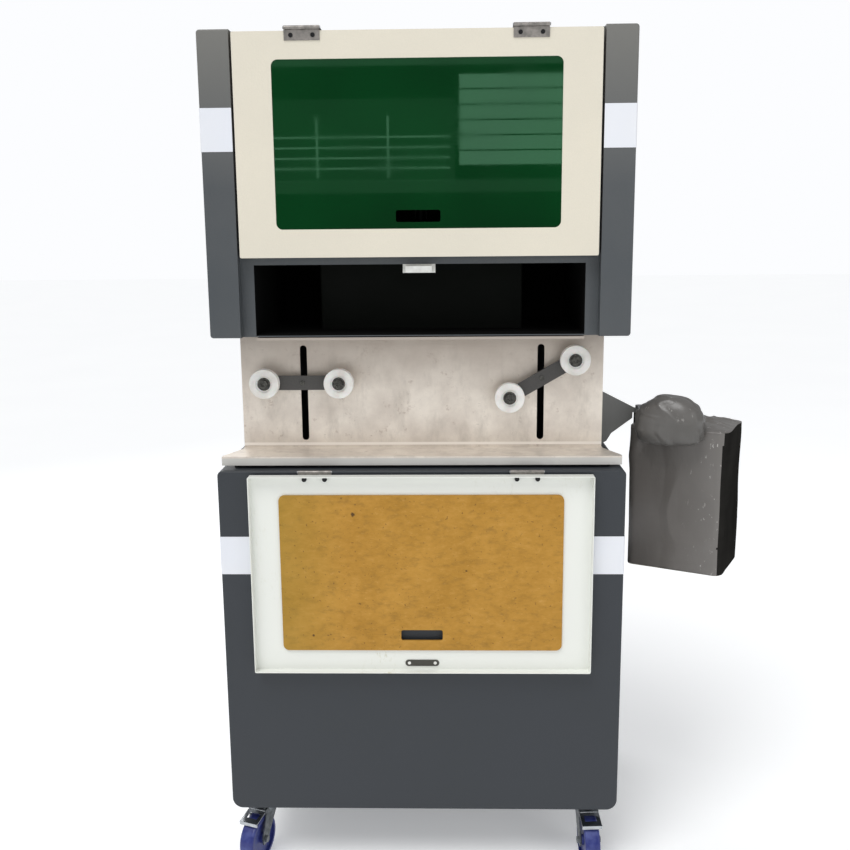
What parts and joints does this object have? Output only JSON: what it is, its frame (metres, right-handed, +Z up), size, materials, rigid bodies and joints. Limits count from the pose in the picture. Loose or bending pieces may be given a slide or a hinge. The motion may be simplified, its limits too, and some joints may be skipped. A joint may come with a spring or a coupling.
{
  "type": "laser cutter",
  "caption": "Floor-standing laser cutter: an upper chamber with a window door on a wheeled base, joined by a steel plate with guide rollers, and a swinging control box.",
  "frame": {"origin": "bottom centre of the whole machine, on the floor", "axes": "+X to the right seen from the front, +Y to the back, +Z up"},
  "size_m": [1.0781, 0.631, 1.6835],
  "materials": {
    "graphite_paint": "fine texture, satin",
    "cream_paint": "fine texture, satin",
    "white_trim": "satin film",
    "black_steel": "matt",
    "stainless": "brushed, smudged",
    "zinc": "bright zinc",
    "chrome": "polished",
    "black_oxide": "satin",
    "arm_paint": "satin",
    "nylon": "smooth",
    "green_acrylic": "polished, see-through",
    "backing_paper": "paper-faced acrylic sheet",
    "blue_wheel": "cast polyurethane",
    "aluminium": "anodised",
    "laser_glass": "clear",
    "grey_plastic": "moulded",
    "screen_glass": "gloss",
    "grey_film": "loose wrapping film",
    "bundle_film": "layers of wrapping film"
  },
  "bodies": {
    "frame": {"lower_cabinet": "graphite_paint", "lower_rear_cover": "graphite_paint", "upper_cabinet": "graphite_paint", "upper_rear_cover": "graphite_paint", "rear_cover_screws": "zinc", "chamber_floor": "black_steel", "throat_liner": "black_steel", "throat_guide": "grey_plastic", "rear_column": "graphite_paint", "shelf_riser": "black_steel", "roller_plate": "stainless", "white_bands": "white_trim", "door_catches": "zinc", "fixed_hinge_leaves": "zinc", "hinge_pins": "zinc", "duct_collar": "zinc", "honeycomb_bed": "aluminium", "side_rails": "aluminium", "laser_tube": "laser_glass", "tube_mounts": "aluminium", "power_supply": "grey_plastic", "caster_tops": "zinc", "swing_bracket": "black_steel", "swing_pin": "zinc"},
    "gantry": {"cross_beam": "aluminium"},
    "head": {"laser_head": "aluminium"},
    "control_box": {"swing_arm": "black_steel", "control_case": "cream_paint", "control_cover": "cream_paint", "control_screen": "screen_glass", "dust_film": "grey_film", "film_bundle": "bundle_film"},
    "upper_door": {"upper_door_panel": "cream_paint", "upper_door_window": "green_acrylic", "upper_door_fittings": "black_oxide", "upper_door_screws": "black_oxide"},
    "bay_door": {"bay_door_panel": "cream_paint", "bay_door_window": "backing_paper", "bay_door_fittings": "black_oxide", "bay_door_screws": "black_oxide"},
    "left_slider": {"left_slot_stud": "black_oxide"},
    "left_arm_set": {"left_arm": "arm_paint", "left_roller_bolts": "black_oxide"},
    "left_outer_roller_body": {"left_outer_roller": "nylon"},
    "left_inner_roller_body": {"left_inner_roller": "nylon"},
    "right_slider": {"right_slot_stud": "black_oxide"},
    "right_arm_set": {"right_arm": "arm_paint", "right_roller_bolts": "black_oxide"},
    "right_inner_roller_body": {"right_inner_roller": "nylon"},
    "right_outer_roller_body": {"right_outer_roller": "nylon"},
    "front_left_fork_body": {"front_left_fork": "chrome"},
    "front_left_wheel_body": {"front_left_wheel": "blue_wheel"},
    "front_left_brake_body": {"front_left_brake": "chrome"},
    "front_right_fork_body": {"front_right_fork": "chrome"},
    "front_right_wheel_body": {"front_right_wheel": "blue_wheel"},
    "front_right_brake_body": {"front_right_brake": "chrome"},
    "rear_left_fork_body": {"rear_left_fork": "chrome"},
    "rear_left_wheel_body": {"rear_left_wheel": "blue_wheel"},
    "rear_right_fork_body": {"rear_right_fork": "chrome"},
    "rear_right_wheel_body": {"rear_right_wheel": "blue_wheel"}
  },
  "joints": [
    {"name": "upper_door_hinge", "type": "hinge", "parent": "frame", "child": "upper_door", "pos_m": [-0.13825, -0.2935, 1.68], "axis": [-1, 0, 0], "range_deg": [0, 100]},
    {"name": "bay_door_hinge", "type": "hinge", "parent": "frame", "child": "bay_door", "pos_m": [-0.13825, -0.2935, 0.858], "axis": [-1, 0, 0], "range_deg": [0, 180]},
    {"name": "gantry_slide", "type": "slide", "parent": "frame", "child": "gantry", "axis": [0, 1, 0], "range_m": [-0.125, 0.17]},
    {"name": "head_slide", "type": "slide", "parent": "gantry", "child": "head", "axis": [1, 0, 0], "range_m": [-0.2, 0.2]},
    {"name": "control_box_swing", "type": "hinge", "parent": "frame", "child": "control_box", "pos_m": [0.32075, -0.0895, 0.9385], "axis": [0, 0, 1], "range_deg": [-25, 25]},
    {"name": "left_slot_slide", "type": "slide", "parent": "frame", "child": "left_slider", "axis": [0, 0, 1], "range_m": [-0.07, 0.012]},
    {"name": "left_arm_tilt", "type": "hinge", "parent": "left_slider", "child": "left_arm_set", "pos_m": [-0.37825, -0.1915, 1.02], "axis": [0, -1, 0], "range_deg": [-30, 30]},
    {"name": "left_outer_roller_spin", "type": "hinge", "parent": "left_arm_set", "child": "left_outer_roller_body", "pos_m": [-0.45325, -0.2055, 1.02], "axis": [0, 1, 0], "continuous": true},
    {"name": "left_inner_roller_spin", "type": "hinge", "parent": "left_arm_set", "child": "left_inner_roller_body", "pos_m": [-0.30325, -0.2055, 1.02], "axis": [0, 1, 0], "continuous": true},
    {"name": "right_slot_slide", "type": "slide", "parent": "frame", "child": "right_slider", "axis": [0, 0, 1], "range_m": [-0.07, 0.008]},
    {"name": "right_arm_tilt", "type": "hinge", "parent": "right_slider", "child": "right_arm_set", "pos_m": [0.10375, -0.1915, 1.027], "axis": [0, -1, 0], "range_deg": [-60, 0]},
    {"name": "right_inner_roller_spin", "type": "hinge", "parent": "right_arm_set", "child": "right_inner_roller_body", "pos_m": [0.03879, -0.2055, 0.9895], "axis": [0, 1, 0], "continuous": true},
    {"name": "right_outer_roller_spin", "type": "hinge", "parent": "right_arm_set", "child": "right_outer_roller_body", "pos_m": [0.1687, -0.2055, 1.0645], "axis": [0, 1, 0], "continuous": true},
    {"name": "front_left_swivel", "type": "hinge", "parent": "frame", "child": "front_left_fork_body", "pos_m": [-0.48325, -0.2275, 0.104], "axis": [0, 0, 1], "continuous": true},
    {"name": "front_left_wheel_spin", "type": "hinge", "parent": "front_left_fork_body", "child": "front_left_wheel_body", "pos_m": [-0.49488, -0.25945, 0.05], "axis": [-0.9397, 0.342, 0], "continuous": true},
    {"name": "front_left_brake_press", "type": "hinge", "parent": "front_left_fork_body", "child": "front_left_brake_body", "pos_m": [-0.49334, -0.25522, 0.111], "axis": [0.9397, -0.342, 0], "range_deg": [0, 7]},
    {"name": "front_right_swivel", "type": "hinge", "parent": "frame", "child": "front_right_fork_body", "pos_m": [0.20675, -0.2275, 0.104], "axis": [0, 0, 1], "continuous": true},
    {"name": "front_right_wheel_spin", "type": "hinge", "parent": "front_right_fork_body", "child": "front_right_wheel_body", "pos_m": [0.20912, -0.26142, 0.05], "axis": [-0.9976, -0.0698, 0], "continuous": true},
    {"name": "front_right_brake_press", "type": "hinge", "parent": "front_right_fork_body", "child": "front_right_brake_body", "pos_m": [0.2088, -0.25693, 0.111], "axis": [0.9976, 0.0698, 0], "range_deg": [0, 7]},
    {"name": "rear_left_swivel", "type": "hinge", "parent": "frame", "child": "rear_left_fork_body", "pos_m": [-0.48325, 0.2085, 0.104], "axis": [0, 0, 1], "continuous": true},
    {"name": "rear_left_wheel_spin", "type": "hinge", "parent": "rear_left_fork_body", "child": "rear_left_wheel_body", "pos_m": [-0.49708, 0.23956, 0.05], "axis": [0.9135, 0.4067, 0], "continuous": true},
    {"name": "rear_right_swivel", "type": "hinge", "parent": "frame", "child": "rear_right_fork_body", "pos_m": [0.20675, 0.2085, 0.104], "axis": [0, 0, 1], "continuous": true},
    {"name": "rear_right_wheel_spin", "type": "hinge", "parent": "rear_right_fork_body", "child": "rear_right_wheel_body", "pos_m": [0.21555, 0.24134, 0.05], "axis": [0.9659, -0.2588, 0], "continuous": true}
  ]
}
